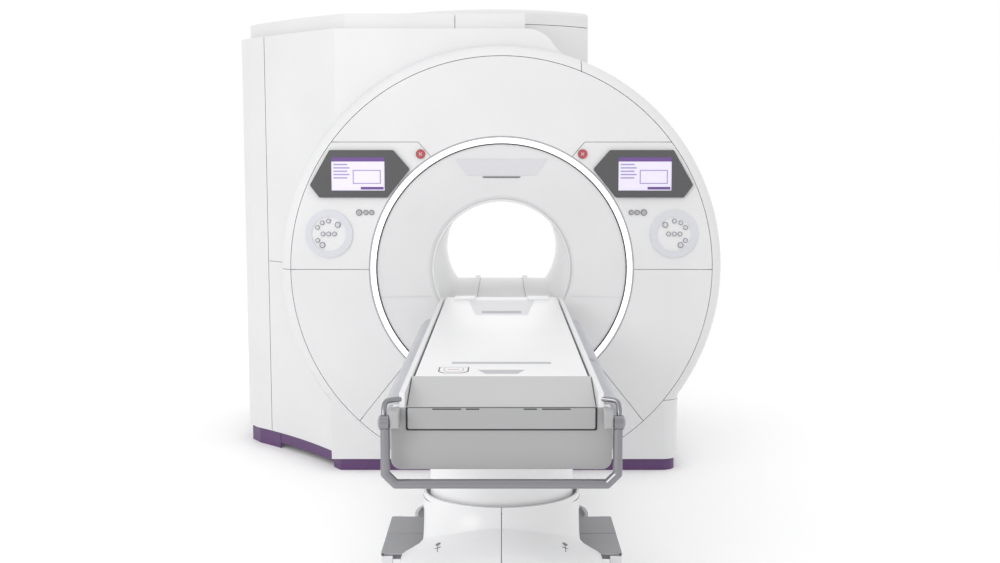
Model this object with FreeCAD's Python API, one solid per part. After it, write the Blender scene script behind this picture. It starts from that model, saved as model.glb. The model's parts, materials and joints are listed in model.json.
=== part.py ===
import FreeCAD, Part
import math
import os

# Magnetic resonance scanner with its docked, wheeled patient table.
# Frame: +Z up, origin on the floor under the isocentre, bore axis along Y,
# the patient goes in along +Y and the table stands on the -Y side. Millimetres.

# ---- gantry: driving dimensions ----
ISO_Z = 1050.0          # height of the bore axis
BORE_R = 350.0          # 70 cm patient bore
GANTRY_HALF = 850.0     # half length of the gantry
BORE_WALL = 8.0
BORE_HALF = GANTRY_HALF - 65       # half length of the bore tube
FRONT_Y = -GANTRY_HALF        # front cover plane
REAR_Y = GANTRY_HALF          # rear cover plane
DISC_DIP = 23.0         # the disc would reach this far under the floor, and the plinth ends it
DISC_R = ISO_Z + DISC_DIP   # edge of the flat front disc
DRUM_R = DISC_R + 57         # drum behind the disc
ROUND_Y = 100.0         # depth over which the disc edge rounds into the drum
COVER = 12.0            # moulded cover thickness
CARRIER_T = 10.0        # plate behind the front covers that holds them to the magnet
SEAM = 3.0              # gap between neighbouring covers
SEAM_OVERRUN = 10.0     # how far a seam is cut on past the front covers
RING_GAP_R = BORE_R + 288      # outer edge of the entry flare
LIGHT_IN_R = RING_GAP_R + 2
LIGHT_OUT_R = LIGHT_IN_R + 27
PANEL_IN_R = LIGHT_OUT_R + 9      # inner edge of the front covers
FLARE_LIP_Y = FRONT_Y + 60
FLARE_WALL = 10.0
FLARE_BEND = 25.0       # last ring of the flare, where it turns into the bore

# ---- shoulder, foot and turret ----
BLOCK_LEFT = -(DRUM_R + 320)
BLOCK_TOP = ISO_Z + DRUM_R + 90
BLOCK_REAR = REAR_Y - 50
BLOCK_RIGHT = 400.0
BLOCK_FRONT_LOW = FRONT_Y + 4    # nearly flush with the disc at the floor
BLOCK_FRONT_HIGH = FRONT_Y + 105   # set back behind the disc at the top
BLOCK_BASE = 92.0
PANEL_SEAM_X = BLOCK_LEFT + 160      # seam between shoulder and side panel
FOOT_LEFT = BLOCK_LEFT + 570
FOOT_RIGHT = 920.0
FOOT_ROUND = 90.0       # plan radius of the foot's right-hand corners
FOOT_TOP = ISO_Z - 450
FOOT_SEAM_Z = ISO_Z - 680
FOOT_SEAM_X = 0.0       # the shoulder cover wraps round to here behind the front disc
PLINTH_H = 60.0
COVER_BASE = PLINTH_H + 2   # lower edge of the covers, just clear of the plinth
PLINTH_INSET = 14.0
PLINTH_WALL = 15.0
PLINTH_SEAM = (BLOCK_LEFT + 215, BLOCK_LEFT + 567)
TOP_BAND = BLOCK_TOP + 80
BAND_INSET = 45.0       # the top band stands in from the shoulder below it
BAND_END_X = 120.0
TOP_SEAM_X = -240.0
TURRET_X = (-560.0, 490.0)
TURRET_SIDE_Y = -30.0
TURRET_NOSE_Y = -240.0
TURRET_REAR_Y = BLOCK_REAR - 100
TURRET_SEAM_Z = BLOCK_TOP + 77
TURRET_TOP = TURRET_SEAM_Z + 83
TURRET_LOW = ISO_Z + 900    # skirt of the turret, down inside the covers
TURRET_ROUND = 25.0

# ---- inside ----
VESSEL_IN_R = BORE_R + 130
VESSEL_OUT_R = 940.0
VESSEL_HALF = GANTRY_HALF - 70
GRADIENT_R = (BORE_R + 25, BORE_R + 115)
GRADIENT_HALF = VESSEL_HALF - 40
BODY_COIL_R = (BORE_R + 10, BORE_R + 20)
BODY_COIL_HALF = 300.0
ANCHOR = (705.0, 550.0)     # floor anchor holes
ANCHOR_D = 18.0
POST_X = (350.0, 640.0)     # magnet feet
LUG_X = (600.0, 770.0)
LUG_T = 25.0
POST_HALF_Y = 90.0
COLD_HEAD_R = (90.0, 130.0)
COLD_HEAD_Y = 250.0
COLD_HEAD_H = (180.0, 350.0)
BRIDGE_CHORD = BORE_R - 58  # half width of the flat floor inside the bore
BRIDGE_INSET = 15.0

# ---- controls: places mirrored left and right ----
STOP = (409.0, ISO_Z + 585)
STOP_R = 23.0
ROW_Z = ISO_Z + 290
ROW = ((722.0, 15.7), (688.0, 12.7), (658.0, 12.7))
BUTTON_CLEAR = 0.8
FLANGE = 2.0            # lip behind the cover that keeps a button in
KEYPAD = (877.0, ISO_Z + 181.6)
KEYPAD_R = 121.5
KEY_RING = 65.5
KEYPAD_T = 7.0
KEYPAD_RIM = 35.0       # width of the raised rim round the keys
KEYPAD_DISH = 3.0       # depth left under the keys
KEY_T = 2.5
KEYS = ((150, 12.6), (120, 12.6), (90, 12.6), (210, 12.6), (45, 15.6), (240, 15.6))     # degrees, radius
MID_KEYS = (-29, 0, 29)
MID_KEY_R = 12.0
STOP_PROUD = 12.0
ROW_PROUD = 5.0
BEZEL_SHAPE = ((867, 605), (546, 605), (462, 508.5), (577, 366), (921, 366), (968, 429))
BEZEL = tuple((x, ISO_Z + z) for x, z in BEZEL_SHAPE)
BEZEL_T = 16.0
BEZEL_ROUND = 12.0
DISPLAY_GAP = 0.5       # between a display and the cover it hangs on
SCREEN = (590.0, 858.0, ISO_Z + 401.6, ISO_Z + 569)

# ---- table ----
TOP_Z = ISO_Z - 131           # cradle surface
CRADLE_T = 34.0
CRADLE_HALF = BORE_R - 72
RUNNER_X = 150.0        # two runners under the cradle and the tracks they ride on
RUNNER_HALF = 15.0
RUNNER_Z = TOP_Z - 58
CRADLE_Y = (FRONT_Y - 2264, FRONT_Y - 90)
CAP_HALF = CRADLE_HALF + 7
CAP_Y = CRADLE_Y[0] - 226
CAP_DROP = 52.0         # fall of the sloped cradle end
RAIL = (CRADLE_HALF + 10, CRADLE_HALF + 26)
RAIL_Y = (CAP_Y - 50, FRONT_Y - 110)
FRAME_HALF = RAIL[1] + 26
FRAME_Z = (TOP_Z - 219, TOP_Z - 51)
WING_OUT = FRAME_HALF + 46
WING_Y = (RAIL_Y[0] + 130, FRONT_Y - 430)
DECK_Y = WING_Y[0] + 62     # the deck and side covers start behind the end cover
SHELL_Z = (TOP_Z - 244, FRAME_Z[1] - 12)
SHELL_ROUND = 22.0
WING_Z = (TOP_Z - 184, FRAME_Z[1] - 12)
WING_ROUND = 14.0
WHEEL_R = 62.0
WHEEL_W = 30.0
COLUMN_Y = FRONT_Y - 1800
COLLAR = (270.0, 235.0)     # half axes of the opening in the base shroud
SLEEVE = (COLLAR[0] - 12, COLLAR[1] - 12)
COLUMN = (SLEEVE[0] - 33, SLEEVE[1] - 33)
SLEEVE_WALL = 14.0
COLLAR_Z = 420.0
LIFT = 230.0
CHASSIS_Z = (2 * WHEEL_R + 6, 2 * WHEEL_R + 46)
SHROUD_HALF = 355.0
SHROUD_CHAMFER = 60.0
SHROUD_ROUND = (3.0, 45.0)  # draft of the foot and set-back of its shelf
SHROUD_SHELF = (CHASSIS_Z[1] + 65, CHASSIS_Z[1] + 92)   # heights where the broad foot rounds over and ends
SHROUD_TOWER = (30.0, 12.0)     # how far the tower stands outside the collar, low and high
PEDAL_POCKET = 6.0
PEDAL_LUG = 30.0        # reach of the pedal's lugs beyond its ends
SHROUD_Y = (COLUMN_Y - 410, COLUMN_Y + 410)
CHASSIS_HALF = 270.0
GRIP_R = 14.0
GRIP_HALF = FRAME_HALF + 12
GRIP_PIVOT_Z = TOP_Z - 78
GRIP_BAR_Z = TOP_Z - 262
GRIP_Y = RAIL_Y[0] - 50
GRIP_PIN_R = 8.0
GRIP_BOSS_R = 22.0
GRIP_BOSS = (-12.0, 14.0)   # inner and outer face of the boss, from the tube
GRIP_CORNER = 30.0
ARM_HALF = 14.0         # half thickness of the arm that carries the bar
PEDAL_X = (283.0, 415.0)
PEDAL_Y = (COLUMN_Y - 110, COLUMN_Y + 300)
PEDAL_Z = CHASSIS_Z[1] + 30
CASTER = (235.0, COLUMN_Y - 280)
CASTER_TRAIL = 32.0
STEM_R = 12.0
FORK_HALF = 26.0
FORK_T = 6.0
AXLE_R = 8.0
REAR_AXLE_R = 9.0
PEDAL_T = 16.0
PEDAL_BOSS_R = 14.0
PEDAL_PIN_R = 6.0
PEDAL_HINGE_X = PEDAL_X[1] - 10
LUG_PLATE = 20.0        # thickness of the lugs at the pedal ends
REAR_WHEEL = (235.0, FRONT_Y - 440)
PIN_CLEAR = 0.05
FAR = 3000.0
SLIVER = 1000.0         # cubic millimetres of cutting waste

V = FreeCAD.Vector
Y_AXIS = V(0, 1, 0)


def box(x0, x1, y0, y1, z0, z1):
    return Part.makeBox(x1 - x0, y1 - y0, z1 - z0, V(x0, y0, z0))


def cyl_y(r, y0, y1, x=0.0, z=ISO_Z):
    return Part.makeCylinder(r, y1 - y0, V(x, y0, z), Y_AXIS)


def cyl_x(r, x0, x1, y, z):
    return Part.makeCylinder(r, x1 - x0, V(x0, y, z), V(1, 0, 0))


def cyl_z(r, z0, z1, x, y):
    return Part.makeCylinder(r, z1 - z0, V(x, y, z0))


def tube_y(r0, r1, y0, y1):
    return cyl_y(r1, y0, y1).cut(cyl_y(r0, y0 - 1, y1 + 1))


def above(z):
    return box(-FAR, FAR, -FAR, FAR, z, FAR)


def prism_y(points, y0, y1):
    wire = Part.makePolygon([V(x, y0, z) for x, z in points + points[:1]])
    return Part.Face(wire).extrude(V(0, y1 - y0, 0))


def oval_wire(rx, ry, z):
    """Level ellipse about the lift column, with half axes rx across and ry along."""
    centre = V(0, COLUMN_Y, z)
    ends = [centre + V(rx, 0, 0), centre + V(0, ry, 0)]
    if ry > rx:
        ends.reverse()
    return Part.Wire(Part.Ellipse(ends[0], ends[1], centre).toShape())


def oval(rx, ry, z0, z1):
    return Part.Face(oval_wire(rx, ry, z0)).extrude(V(0, 0, z1 - z0))


def side_box(sign, near, far, y0, y1, z0, z1):
    """Box between two distances from the centre plane, on the side given by sign."""
    x0, x1 = sorted((sign * near, sign * far))
    return box(x0, x1, y0, y1, z0, z1)


def rounded(shape, r, picks):
    edges = [e for e in shape.Edges if picks(e)]
    return shape.makeFillet(r, edges)


def single(shape):
    """The one solid of a shape; a second one of any size is a modelling fault."""
    solids = sorted(shape.Solids, key=lambda s: s.Volume)
    lost = sum(s.Volume for s in solids[:-1])
    if lost > SLIVER:
        raise ValueError("a cover fell apart and %.0f mm3 would be lost" % lost)
    return solids[-1]


def mirror(shape):
    return shape.mirror(V(0, 0, 0), V(1, 0, 0))


def save(name, shape):
    solid = shape if len(shape.Solids) > 1 else shape.Solids[0]
    solid.exportStep("parts/" + name + ".step")


def both(name, shape):
    save("right_" + name, shape)
    save("left_" + name, mirror(shape))


# ---- gantry envelope: outer form when inset is 0, inner form when it is COVER ----
def revolve(points):
    wire = Part.makePolygon([V(r, y, ISO_Z) for r, y in points + points[:1]])
    return Part.Face(wire).revolve(V(0, 0, ISO_Z), Y_AXIS, 360)


def drum(inset):
    y0, y1 = FRONT_Y + inset, REAR_Y - inset
    r = DRUM_R - inset
    edge = DISC_R - inset
    start = V(edge, y0, ISO_Z)
    end = V(r, y0 + ROUND_Y, ISO_Z)
    mid = V(edge + 0.7 * (r - edge), y0 + 0.3 * ROUND_Y, ISO_Z)
    edges = [
        Part.LineSegment(V(0, y0, ISO_Z), start).toShape(),
        Part.Arc(start, mid, end).toShape(),
        Part.LineSegment(end, V(r, y1, ISO_Z)).toShape(),
        Part.LineSegment(V(r, y1, ISO_Z), V(0, y1, ISO_Z)).toShape(),
        Part.LineSegment(V(0, y1, ISO_Z), V(0, y0, ISO_Z)).toShape(),
    ]
    return Part.Face(Part.Wire(edges)).revolve(V(0, 0, ISO_Z), Y_AXIS, 360)


def plan_wire(inset, front, z):
    """Plan outline of the shoulder: flat front, swept corner, straight side."""
    left = BLOCK_LEFT + inset
    a = V(BLOCK_RIGHT, front + inset, z)
    b = V(left + 600, front + inset, z)
    mid = V(left + 330 - 0.25 * inset, -500 + 0.6 * inset, z)
    c = V(left + 60, -240 + 0.6 * inset, z)
    d = V(left, -150 + 0.6 * inset, z)
    e = V(left, BLOCK_REAR - inset, z)
    f = V(BLOCK_RIGHT, BLOCK_REAR - inset, z)
    edges = [
        Part.LineSegment(a, b).toShape(),
        Part.Arc(b, mid, c).toShape(),
        Part.LineSegment(c, d).toShape(),
        Part.LineSegment(d, e).toShape(),
        Part.LineSegment(e, f).toShape(),
        Part.LineSegment(f, a).toShape(),
    ]
    return Part.Wire(edges)


def drop_profile(inset, top):
    """Front view of the shoulder: flat top running down in an S to the drum."""
    left = BLOCK_LEFT - 50
    end_z = ISO_Z + math.sqrt(DRUM_R ** 2 - BLOCK_RIGHT ** 2) - inset
    start = V(120, -1000, top - inset)
    knee = V(265 - 0.4 * inset, -1000, top - 80 - inset)
    end = V(BLOCK_RIGHT, -1000, end_z)
    base = BLOCK_BASE - 1 if inset else BLOCK_BASE
    low_right = V(BLOCK_RIGHT, -1000, base)
    low_left = V(left, -1000, base)
    high_left = V(left, -1000, top - inset)
    edges = [
        Part.LineSegment(high_left, start).toShape(),
        Part.Arc(start, V(205 - 0.3 * inset, -1000, top - 21 - inset), knee).toShape(),
        Part.Arc(knee, V(322, -1000, (knee.z + end.z) / 2 - 12), end).toShape(),
        Part.LineSegment(end, low_right).toShape(),
        Part.LineSegment(low_right, low_left).toShape(),
        Part.LineSegment(low_left, high_left).toShape(),
    ]
    return Part.Face(Part.Wire(edges)).extrude(V(0, 2000, 0))


def block(inset):
    low = plan_wire(inset, BLOCK_FRONT_LOW, BLOCK_BASE - 5)
    high = plan_wire(inset, BLOCK_FRONT_HIGH, BLOCK_TOP + 5)
    body = Part.makeLoft([low, high], True, True)
    return body.common(drop_profile(inset, BLOCK_TOP))


def right_corners_rounded(body, r):
    """Upright edges on the right-hand side of the foot, rounded in plan."""
    edge = body.BoundBox.XMax - 1
    return rounded(body, r, lambda e: e.BoundBox.XMin > edge and e.BoundBox.YLength < 1)


def foot(inset):
    base = COVER_BASE - (1 if inset else 0)
    body = box(FOOT_LEFT, FOOT_RIGHT - inset, BLOCK_FRONT_LOW + inset, BLOCK_REAR - inset, base, FOOT_TOP)
    return right_corners_rounded(body, FOOT_ROUND - inset)


def turret_prism(grow, z0, z1):
    x0, x1 = TURRET_X[0] - grow, TURRET_X[1] + grow
    a = V(x0, TURRET_SIDE_Y, z0)
    nose = V((x0 + x1) / 2, TURRET_NOSE_Y - grow, z0)
    b = V(x1, TURRET_SIDE_Y, z0)
    c = V(x1, TURRET_REAR_Y + grow, z0)
    d = V(x0, TURRET_REAR_Y + grow, z0)
    edges = [Part.Arc(a, nose, b).toShape()]
    for p, q in ((b, c), (c, d), (d, a)):
        edges.append(Part.LineSegment(p, q).toShape())
    return Part.Face(Part.Wire(edges)).extrude(V(0, 0, z1 - z0))


def button_places():
    """Every travelling button: side, node name, x, z and radius."""
    places = []
    for side, sign in (("left", -1), ("right", 1)):
        places.append((side + "_stop_button", sign * STOP[0], STOP[1], STOP_R))
        for i, (x, r) in enumerate(ROW):
            places.append((side + "_row_button_%d" % (i + 1), sign * x, ROW_Z, r))
    return places


def body_covers():
    outer = drum(0).fuse(block(0)).fuse(foot(0))
    inner = drum(COVER).fuse(block(COVER)).fuse(foot(COVER))
    shell = outer.cut(inner).common(above(COVER_BASE))
    shell = shell.cut(cyl_y(DISC_R + SEAM, FRONT_Y - 1, FRONT_Y + ROUND_Y / 4))
    shell = shell.cut(cyl_y(RING_GAP_R, -FAR, FAR))
    shell = shell.cut(turret_prism(SEAM, ISO_Z + 700, FAR))
    rear_from = REAR_Y - COVER - SEAM
    rear = box(-FAR, FAR, rear_from, FAR, -10, FAR)
    save("rear_cover", single(shell.common(rear)))
    hull = shell.cut(box(-FAR, FAR, rear_from - SEAM, FAR, -10, FAR))
    side = box(-FAR, PANEL_SEAM_X, -FAR, FAR, -10, FAR)
    save("left_side_panel", single(hull.common(side)))
    low = box(PANEL_SEAM_X + SEAM, FOOT_SEAM_X, -FAR, FAR, -10, FAR)
    high = box(FOOT_SEAM_X - 1, BLOCK_RIGHT, -FAR, FAR, ISO_Z, FAR)
    save("shoulder_cover", single(hull.common(low.fuse(high))))
    right = box(BLOCK_RIGHT + SEAM, FAR, -FAR, FAR, FOOT_SEAM_Z + SEAM, FAR)
    save("right_side_cover", single(hull.common(right)))
    base = box(FOOT_SEAM_X + SEAM, FAR, -FAR, FAR, -10, FOOT_SEAM_Z)
    save("right_foot_cover", single(hull.common(base)))


def top_covers():
    height = TOP_BAND - BLOCK_TOP
    plan = Part.Face(plan_wire(BAND_INSET, BLOCK_FRONT_HIGH, BLOCK_TOP + 1))
    inner = Part.Face(plan_wire(BAND_INSET + COVER, BLOCK_FRONT_HIGH, BLOCK_TOP))
    band = plan.extrude(V(0, 0, height - 1)).cut(inner.extrude(V(0, 0, height - COVER)))
    band = band.common(box(-FAR, BAND_END_X, -FAR, FAR, 0, FAR))
    band = band.cut(turret_prism(SEAM, TURRET_LOW, FAR))
    behind = box(TOP_SEAM_X - 1, FAR, TURRET_REAR_Y, FAR, 0, FAR)
    left = box(-FAR, TOP_SEAM_X, -FAR, FAR, 0, FAR).fuse(behind)
    save("top_cover_left", single(band.common(left)))
    right = box(TOP_SEAM_X + SEAM, FAR, -FAR, TURRET_REAR_Y - SEAM, 0, FAR)
    save("top_cover_right", single(band.common(right)))


def turret():
    skin = turret_prism(0, TURRET_LOW, TURRET_SEAM_Z)
    skin = skin.cut(turret_prism(-COVER, TURRET_LOW - 10, TURRET_SEAM_Z + 1))
    save("turret_cover", single(skin.cut(cyl_y(DRUM_R + 1, -FAR, FAR))))
    cap = turret_prism(0, TURRET_SEAM_Z + SEAM, TURRET_TOP)
    cap = rounded(cap, TURRET_ROUND, lambda e: e.BoundBox.ZMin > TURRET_TOP - 1)
    save("turret_cap", cap.cut(turret_prism(-COVER, TURRET_SEAM_Z, TURRET_TOP - COVER)))


def slab(p, q):
    """A seam cut through the front covers from p to q, in x and z."""
    dx, dz = q[0] - p[0], q[1] - p[1]
    length = math.hypot(dx, dz)
    nx, nz = -dz / length * SEAM / 2, dx / length * SEAM / 2
    corners = [(p[0] + nx, p[1] + nz), (q[0] + nx, q[1] + nz)]
    corners += [(q[0] - nx, q[1] - nz), (p[0] - nx, p[1] - nz)]
    return prism_y(corners, FRONT_Y - 150, FRONT_Y + 150)


def crossing(p, q, r):
    """Where the line from p through q first comes inside radius r of the bore axis."""
    dx, dz = q[0] - p[0], q[1] - p[1]
    height = p[1] - ISO_Z
    a = dx * dx + dz * dz
    b = p[0] * dx + height * dz
    c = p[0] ** 2 + height ** 2 - r ** 2
    share = (-b - math.sqrt(b * b - a * c)) / a
    return p[0] + share * dx, p[1] + share * dz


def front_covers():
    plate = tube_y(PANEL_IN_R, DISC_R, FRONT_Y, FRONT_Y + COVER).common(above(COVER_BASE))
    inner, outer = PANEL_IN_R - SEAM_OVERRUN, DISC_R + SEAM_OVERRUN
    for sign in (-1, 1):
        corner = (sign * 420, ISO_Z + 645)
        far_end = (sign * (DISC_R + 77), ISO_Z + 645)
        level = ((sign * (DISC_R + 77), ISO_Z), (sign * 600, ISO_Z))
        low = ((sign * 780, ISO_Z - 845), (sign * 450, ISO_Z - 432))
        for p, q in (level, low):
            plate = plate.cut(slab(crossing(p, q, outer), crossing(p, q, inner)))
        plate = plate.cut(slab(crossing(far_end, corner, outer), corner))
        plate = plate.cut(slab(corner, crossing(corner, (sign * 340, ISO_Z + 552), inner)))
    for _, x, z, r in button_places():
        plate = plate.cut(cyl_y(r + BUTTON_CLEAR, FRONT_Y - 50, FRONT_Y + 50, x, z))
    for solid in plate.Solids:
        c = solid.CenterOfMass
        side = "left" if c.x < 0 else "right"
        if abs(c.x) < 60:
            name = "front_top_cover" if c.z > ISO_Z else "dock_cover"
        elif c.z > ISO_Z:
            name = "front_" + side + "_cover"
        else:
            name = "lower_" + side + "_cover"
        save(name, solid)
    plate_y = FRONT_Y + COVER + CARRIER_T
    carrier = tube_y(LIGHT_IN_R, DISC_R - 25, FRONT_Y + COVER, plate_y)
    carrier = carrier.fuse(tube_y(VESSEL_OUT_R - 40, VESSEL_OUT_R - 15, plate_y, -VESSEL_HALF))
    for _, x, z, r in button_places():
        carrier = carrier.cut(cyl_y(r + 8, FRONT_Y - 50, FRONT_Y + 50, x, z))
    save("cover_carrier", carrier.common(above(COVER_BASE)))
    save("light_ring", tube_y(LIGHT_IN_R, LIGHT_OUT_R, FRONT_Y, FRONT_Y + COVER))


def flare(sign):
    """Shallow cone from the light ring to the bore lip."""
    outer_y = sign * (GANTRY_HALF - 5)
    bend_y = sign * (8 - FLARE_LIP_Y)
    lip_y = sign * (-5 - FLARE_LIP_Y)
    back = -sign * FLARE_WALL
    front = [(RING_GAP_R, outer_y), (BORE_R + FLARE_BEND, bend_y), (BORE_R, lip_y)]
    rear = [(BORE_R, lip_y + back / 2), (BORE_R + FLARE_BEND, bend_y + back), (RING_GAP_R, outer_y + back)]
    return revolve(front + rear)


def bore_parts():
    save("entry_flare", flare(-1))
    save("rear_flare", flare(1))
    save("bore_tube", tube_y(BORE_R, BORE_R + BORE_WALL, -BORE_HALF + 10, BORE_HALF - 10))
    save("body_coil", tube_y(BODY_COIL_R[0], BODY_COIL_R[1], -BODY_COIL_HALF, BODY_COIL_HALF))
    save("gradient_coil", tube_y(GRADIENT_R[0], GRADIENT_R[1], -GRADIENT_HALF, GRADIENT_HALF))
    vessel = tube_y(VESSEL_IN_R, VESSEL_OUT_R, -VESSEL_HALF, VESSEL_HALF)
    rim = VESSEL_OUT_R * 2 - 80
    vessel = rounded(vessel, 30, lambda e: e.BoundBox.XLength > rim and e.BoundBox.YLength < 1)
    save("magnet_vessel", vessel)
    low = ISO_Z + VESSEL_OUT_R - 90
    head = cyl_z(COLD_HEAD_R[0], low, low + COLD_HEAD_H[1], 0, COLD_HEAD_Y)
    head = head.fuse(cyl_z(COLD_HEAD_R[1], low, low + COLD_HEAD_H[0], 0, COLD_HEAD_Y))
    save("cold_head", head.cut(cyl_y(VESSEL_OUT_R, -FAR, FAR)))
    magnet_feet()
    cradle_bridge()


def magnet_feet():
    feet = []
    for sx in (-1, 1):
        for sy in (-1, 1):
            y0, y1 = sy * ANCHOR[1] - POST_HALF_Y, sy * ANCHOR[1] + POST_HALF_Y
            post = side_box(sx, POST_X[0], POST_X[1], y0, y1, 0, ISO_Z - 550)
            lug = side_box(sx, LUG_X[0], LUG_X[1], y0, y1, 0, LUG_T)
            hole = cyl_z(ANCHOR_D / 2, -1, LUG_T + 5, sx * ANCHOR[0], sy * ANCHOR[1])
            feet.append(post.cut(cyl_y(VESSEL_OUT_R, -FAR, FAR)).fuse(lug).cut(hole))
    save("magnet_feet", Part.makeCompound(feet))


def cradle_bridge():
    """Flat floor inside the bore, with the two tracks the cradle runs on."""
    floor_z = TOP_Z - 74
    y = BORE_HALF - BRIDGE_INSET
    bridge = box(-BRIDGE_CHORD, BRIDGE_CHORD, -y, y, ISO_Z - BORE_R, floor_z)
    bridge = bridge.common(cyl_y(BORE_R, -FAR, FAR))
    for x in (-RUNNER_X, RUNNER_X):
        bridge = bridge.fuse(box(x - RUNNER_HALF, x + RUNNER_HALF, -y, y, floor_z - 1, RUNNER_Z))
    save("cradle_bridge", bridge)


def plinths():
    def strip(region, z0, z1):
        body = drum_plan(PLINTH_INSET, z0, z1)
        body = body.cut(drum_plan(PLINTH_INSET + PLINTH_WALL, z0 - 1, z1 + 1))
        return single(body.common(region))
    behind = box(PLINTH_SEAM[0] - 1, PLINTH_SEAM[1], 0, FAR, -10, FAR)
    rear = box(-FAR, PLINTH_SEAM[0], -FAR, FAR, -10, FAR).fuse(behind)
    front = box(PLINTH_SEAM[0] + SEAM, PLINTH_SEAM[1], -FAR, -1, -10, FAR)
    save("plinth_left_rear", strip(rear, 0, BLOCK_BASE - 2))
    save("plinth_left", strip(front, 30, BLOCK_BASE - 2))
    save("plinth_right", strip(box(PLINTH_SEAM[1] + SEAM, FAR, -FAR, FAR, -10, FAR), 0, PLINTH_H))


def drum_plan(inset, z0, z1):
    """Footprint of the whole gantry, inset from the covers."""
    left = Part.Face(plan_wire(inset, BLOCK_FRONT_LOW, z0)).extrude(V(0, 0, z1 - z0))
    right = box(BLOCK_RIGHT - 10, FOOT_RIGHT - inset, BLOCK_FRONT_LOW + inset, BLOCK_REAR - inset, z0, z1)
    return left.fuse(right_corners_rounded(right, FOOT_ROUND - inset))


def keypad(sign):
    """Round overlay with a raised rim and domed keys."""
    cx, cz = sign * KEYPAD[0], KEYPAD[1]
    face = FRONT_Y - KEYPAD_T
    pad = cyl_y(KEYPAD_R, face, FRONT_Y, cx, cz)
    pad = pad.cut(cyl_y(KEYPAD_R - KEYPAD_RIM, -FAR, FRONT_Y - KEYPAD_DISH, cx, cz))
    spots = [(dx, 0, MID_KEY_R) for dx in MID_KEYS]
    for degrees, r in KEYS:
        a = math.radians(degrees)
        spots.append((KEY_RING * math.cos(a), KEY_RING * math.sin(a), r))
    for dx, dz, r in spots:
        pad = pad.fuse(cyl_y(r, face, FRONT_Y - KEY_T, cx - sign * dx, cz + dz))
    return pad


def controls():
    back = FRONT_Y - DISPLAY_GAP
    well = back - BEZEL_T + 2
    for sign, side in ((-1, "left"), (1, "right")):
        body = prism_y([(sign * x, z) for x, z in BEZEL], back - BEZEL_T, FRONT_Y)
        body = rounded(body, BEZEL_ROUND, lambda e: abs(e.tangentAt(e.FirstParameter).y) > 0.99)
        body = body.cut(side_box(sign, SCREEN[0], SCREEN[1], -FAR, well, SCREEN[2], SCREEN[3]))
        save(side + "_display", body)
        save(side + "_keypad", keypad(sign))
    flange_y = FRONT_Y + COVER + 2
    for name, x, z, r in button_places():
        proud = STOP_PROUD if "stop" in name else ROW_PROUD
        stem = cyl_y(r, FRONT_Y - proud, flange_y, x, z)
        save(name, stem.fuse(cyl_y(r + FLANGE, flange_y, flange_y + 3, x, z)))


# ---- patient table ----
def table_top():
    low = TOP_Z - CRADLE_T
    runners = [(x - RUNNER_HALF, x + RUNNER_HALF) for x in (-RUNNER_X, RUNNER_X)]
    cradle = box(-CRADLE_HALF, CRADLE_HALF, CRADLE_Y[0], CRADLE_Y[1], low, TOP_Z)
    for x0, x1 in runners:
        cradle = cradle.fuse(box(x0, x1, CRADLE_Y[0], CRADLE_Y[1], RUNNER_Z + 0.5, low))
    save("cradle", cradle)
    cap_low = FRAME_Z[1] - 6
    side = [V(0, CRADLE_Y[0], cap_low), V(0, CRADLE_Y[0], TOP_Z)]
    side += [V(0, CAP_Y, TOP_Z - CAP_DROP), V(0, CAP_Y, cap_low)]
    wedge = Part.Face(Part.makePolygon(side + side[:1])).extrude(V(2 * CAP_HALF, 0, 0))
    wedge.translate(V(-CAP_HALF, 0, 0))
    save("cradle_end_cap", wedge)
    frame(runners)
    end_and_side_covers()


def frame(runners):
    """Deck with its rails, the tracks under the cradle and the handlebar brackets."""
    top = FRAME_Z[1] - 10
    deck = box(-FRAME_HALF, FRAME_HALF, DECK_Y, RAIL_Y[1], FRAME_Z[0], top)
    for sign in (-1, 1):
        deck = deck.fuse(side_box(sign, RAIL[0], RAIL[1], RAIL_Y[0], RAIL_Y[1], top - 1, TOP_Z))
        deck = deck.fuse(bracket(sign))
    for x0, x1 in runners:
        deck = deck.fuse(box(x0, x1, DECK_Y, RAIL_Y[1], top - 1, RUNNER_Z))
    save("table_frame", deck)


def end_and_side_covers():
    z0, z1 = SHELL_Z
    shell = box(-FRAME_HALF, FRAME_HALF, RAIL_Y[0], DECK_Y - 2, z0, z1)
    shell = rounded(shell, SHELL_ROUND, lambda e: e.BoundBox.YMax < RAIL_Y[0] + 1)
    half = FRAME_HALF - COVER
    inner = box(-half, half, RAIL_Y[0] + COVER, DECK_Y - 1, z0 + COVER, z1 - COVER)
    save("end_cover", shell.cut(inner))
    wing = box(FRAME_HALF, WING_OUT, DECK_Y, WING_Y[1], WING_Z[0], WING_Z[1])
    half_way = (WING_Y[1] - DECK_Y) / 2
    outer = [e for e in wing.Edges if e.BoundBox.XMin > WING_OUT - 1]
    wing = wing.makeFillet(WING_ROUND, [e for e in outer if e.BoundBox.YLength > half_way])
    save("right_side_rail_cover", wing)
    save("left_side_rail_cover", mirror(wing))


def bracket(sign):
    """Arm and pin that carry one end of the handlebar."""
    pin_x = sorted((sign * (GRIP_HALF - 40), sign * (GRIP_HALF + GRIP_BOSS[1])))
    near, far = RAIL[1] - 2, GRIP_HALF - 16
    top = FRAME_Z[1] + 6
    pin = cyl_x(GRIP_PIN_R, pin_x[0], pin_x[1], GRIP_Y, GRIP_PIVOT_Z)
    arm = side_box(sign, near, far, GRIP_Y - ARM_HALF, RAIL_Y[0] - 1, GRIP_PIVOT_Z - ARM_HALF, top)
    tab = side_box(sign, near, far, RAIL_Y[0] - 2, RAIL_Y[0] + 50, FRAME_Z[1] - 10.5, top)
    return arm.fuse(tab).fuse(pin)


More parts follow.
